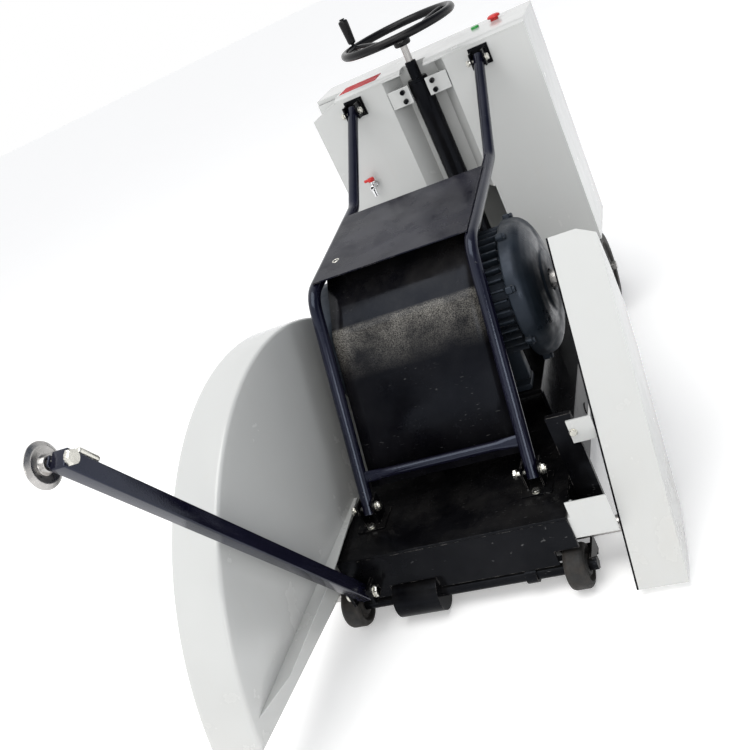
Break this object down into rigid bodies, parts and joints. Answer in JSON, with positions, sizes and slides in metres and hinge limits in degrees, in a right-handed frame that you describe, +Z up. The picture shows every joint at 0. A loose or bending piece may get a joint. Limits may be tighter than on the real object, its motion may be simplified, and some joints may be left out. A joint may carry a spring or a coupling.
{
  "type": "walk-behind concrete saw",
  "caption": "Walk-behind concrete saw: electric motor, belt-driven blade spindle, large half-disc guard, screw lift with handwheel, console and folding guide arm.",
  "frame": {"origin": "on the ground under the middle of the whole machine's outline", "axes": "+X to the belt-cover side, +Y to the rear where the operator stands, +Z up; the machine travels toward -Y"},
  "size_m": [0.827, 2.101, 1.086],
  "materials": {
    "black_paint": "glossy",
    "black_motor": "glossy",
    "white_paint": "glossy",
    "zinc": "zinc plated",
    "steel": "ground",
    "grey_iron": "cast",
    "chrome": "polished",
    "red_plastic": "satin",
    "green_plastic": "satin",
    "black_rubber": "matt",
    "tyre_rubber": "matt",
    "black_plastic": "satin",
    "red_paint": "glossy",
    "tank_plastic": "natural"
  },
  "bodies": {
    "chassis": {"frame": "black_paint", "console_risers": "black_paint", "deck_plate": "black_paint", "spindle_blocks": "grey_iron", "motor_stand": "black_paint", "motor_housing": "black_motor", "motor_drive_bell": "black_motor", "motor_rear_bell": "black_motor", "motor_fan_cowl": "black_motor", "motor_terminal_box": "black_motor", "ball_bearings": "steel", "drive_belts": "black_rubber", "belt_cover": "white_paint", "belt_backplate": "black_paint", "cover_brackets": "white_paint", "blade_guard": "white_paint", "guard_bracket": "white_paint", "bail_right": "black_paint", "bail_left": "black_paint", "bail_plate": "black_paint", "cross_tube": "black_paint", "motor_front_cover": "black_paint", "clevis_brackets": "black_paint", "zinc_bolts": "zinc", "guide_arm_bolt": "zinc", "console_body": "white_paint", "console_lid": "white_paint", "console_insert": "red_paint", "water_tank": "tank_plastic", "water_tap": "chrome", "rear_handle": "black_paint", "lift_column": "black_paint", "column_clamps": "white_paint", "clamp_screws": "black_paint", "rear_axle": "steel"},
    "spindle": {"spindle_shaft": "steel", "blade_flanges": "steel", "spindle_nuts": "zinc", "spindle_pulley": "grey_iron"},
    "rotor": {"motor_shaft": "steel", "motor_rotor": "steel", "motor_fan": "black_plastic", "motor_pulley": "grey_iron"},
    "handwheel": {"handwheel": "black_plastic", "lift_screw": "steel"},
    "crank_knob": {"crank_knob": "black_plastic"},
    "lift_nut": {"lift_nut": "steel"},
    "lift_crank": {"lift_crank": "black_paint"},
    "push_rod": {"push_rod": "steel"},
    "front_carriage": {"front_carriage": "black_paint", "front_axle": "black_paint"},
    "front_wheel_left": {"front_wheel_left": "tyre_rubber"},
    "front_wheel_right": {"front_wheel_right": "tyre_rubber"},
    "rear_wheel_left": {"rear_wheel_left": "tyre_rubber"},
    "rear_wheel_right": {"rear_wheel_right": "tyre_rubber"},
    "guide_arm": {"guide_arm": "black_paint"},
    "guide_wheel": {"guide_wheel": "steel"},
    "tap_lever": {"tap_lever": "red_plastic"},
    "start_button": {"start_button": "green_plastic"},
    "stop_button": {"stop_button": "red_plastic"}
  },
  "joints": [
    {"name": "motor_spin", "type": "hinge", "parent": "chassis", "child": "rotor", "pos_m": [0.0645, -0.0677, 0.462], "axis": [1, 0, 0], "continuous": true},
    {"name": "spindle_spin", "type": "hinge", "parent": "chassis", "child": "spindle", "pos_m": [-0.0355, -0.4817, 0.09], "axis": [1, 0, 0], "continuous": true},
    {"name": "handwheel_turn", "type": "hinge", "parent": "chassis", "child": "handwheel", "pos_m": [-0.0355, 0.6273, 0.9], "axis": [0, 0, 1], "range_deg": [0, 2506]},
    {"name": "crank_knob_spin", "type": "hinge", "parent": "handwheel", "child": "crank_knob", "pos_m": [-0.18453, 0.67978, 1.05], "axis": [0, 0, 1], "continuous": true},
    {"name": "lift_nut_slide", "type": "slide", "parent": "chassis", "child": "lift_nut", "axis": [0, 0, 1], "range_m": [0, 0.035]},
    {"name": "lift_crank_swing", "type": "hinge", "parent": "chassis", "child": "lift_crank", "pos_m": [-0.0355, 0.5793, 0.11], "axis": [1, 0, 0], "range_deg": [0, 50]},
    {"name": "push_rod_swing", "type": "hinge", "parent": "lift_crank", "child": "push_rod", "pos_m": [-0.0955, 0.5793, 0.162], "axis": [1, 0, 0], "range_deg": [-50, 0]},
    {"name": "carriage_swing", "type": "hinge", "parent": "chassis", "child": "front_carriage", "pos_m": [-0.0355, -0.0657, 0.11], "axis": [1, 0, 0], "range_deg": [0, 50]},
    {"name": "front_wheel_left_spin", "type": "hinge", "parent": "front_carriage", "child": "front_wheel_left", "pos_m": [-0.3075, -0.5377, 0.047], "axis": [1, 0, 0], "continuous": true},
    {"name": "front_wheel_right_spin", "type": "hinge", "parent": "front_carriage", "child": "front_wheel_right", "pos_m": [0.2055, -0.5377, 0.047], "axis": [1, 0, 0], "continuous": true},
    {"name": "rear_wheel_left_spin", "type": "hinge", "parent": "chassis", "child": "rear_wheel_left", "pos_m": [-0.3275, 0.6843, 0.115], "axis": [1, 0, 0], "continuous": true},
    {"name": "rear_wheel_right_spin", "type": "hinge", "parent": "chassis", "child": "rear_wheel_right", "pos_m": [0.2565, 0.6843, 0.115], "axis": [1, 0, 0], "continuous": true},
    {"name": "guide_arm_swing", "type": "hinge", "parent": "chassis", "child": "guide_arm", "pos_m": [-0.2575, -0.5677, 0.106], "axis": [1, 0, 0], "range_deg": [-28, 62]},
    {"name": "guide_wheel_spin", "type": "hinge", "parent": "guide_arm", "child": "guide_wheel", "pos_m": [-0.2875, -1.01676, 0.83593], "axis": [1, 0, 0], "continuous": true},
    {"name": "tap_turn", "type": "hinge", "parent": "chassis", "child": "tap_lever", "pos_m": [-0.2725, 0.5803, 0.658], "axis": [0, 0, 1], "range_deg": [0, 90]},
    {"name": "start_press", "type": "slide", "parent": "chassis", "child": "start_button", "axis": [0, 0, -1], "range_m": [0, 0.004], "stiffness_N_per_m": 900},
    {"name": "stop_press", "type": "slide", "parent": "chassis", "child": "stop_button", "axis": [0, 0, -1], "range_m": [0, 0.004], "stiffness_N_per_m": 900}
  ],
  "couplings": [
    {"joint": "spindle_spin", "follows": "motor_spin", "ratio": 1},
    {"joint": "lift_nut_slide", "follows": "handwheel_turn", "m_per_rad": 0.00079577},
    {"joint": "lift_crank_swing", "follows": "handwheel_turn", "ratio": 0.019894},
    {"joint": "push_rod_swing", "follows": "handwheel_turn", "ratio": -0.019894},
    {"joint": "carriage_swing", "follows": "handwheel_turn", "ratio": 0.019894}
  ]
}
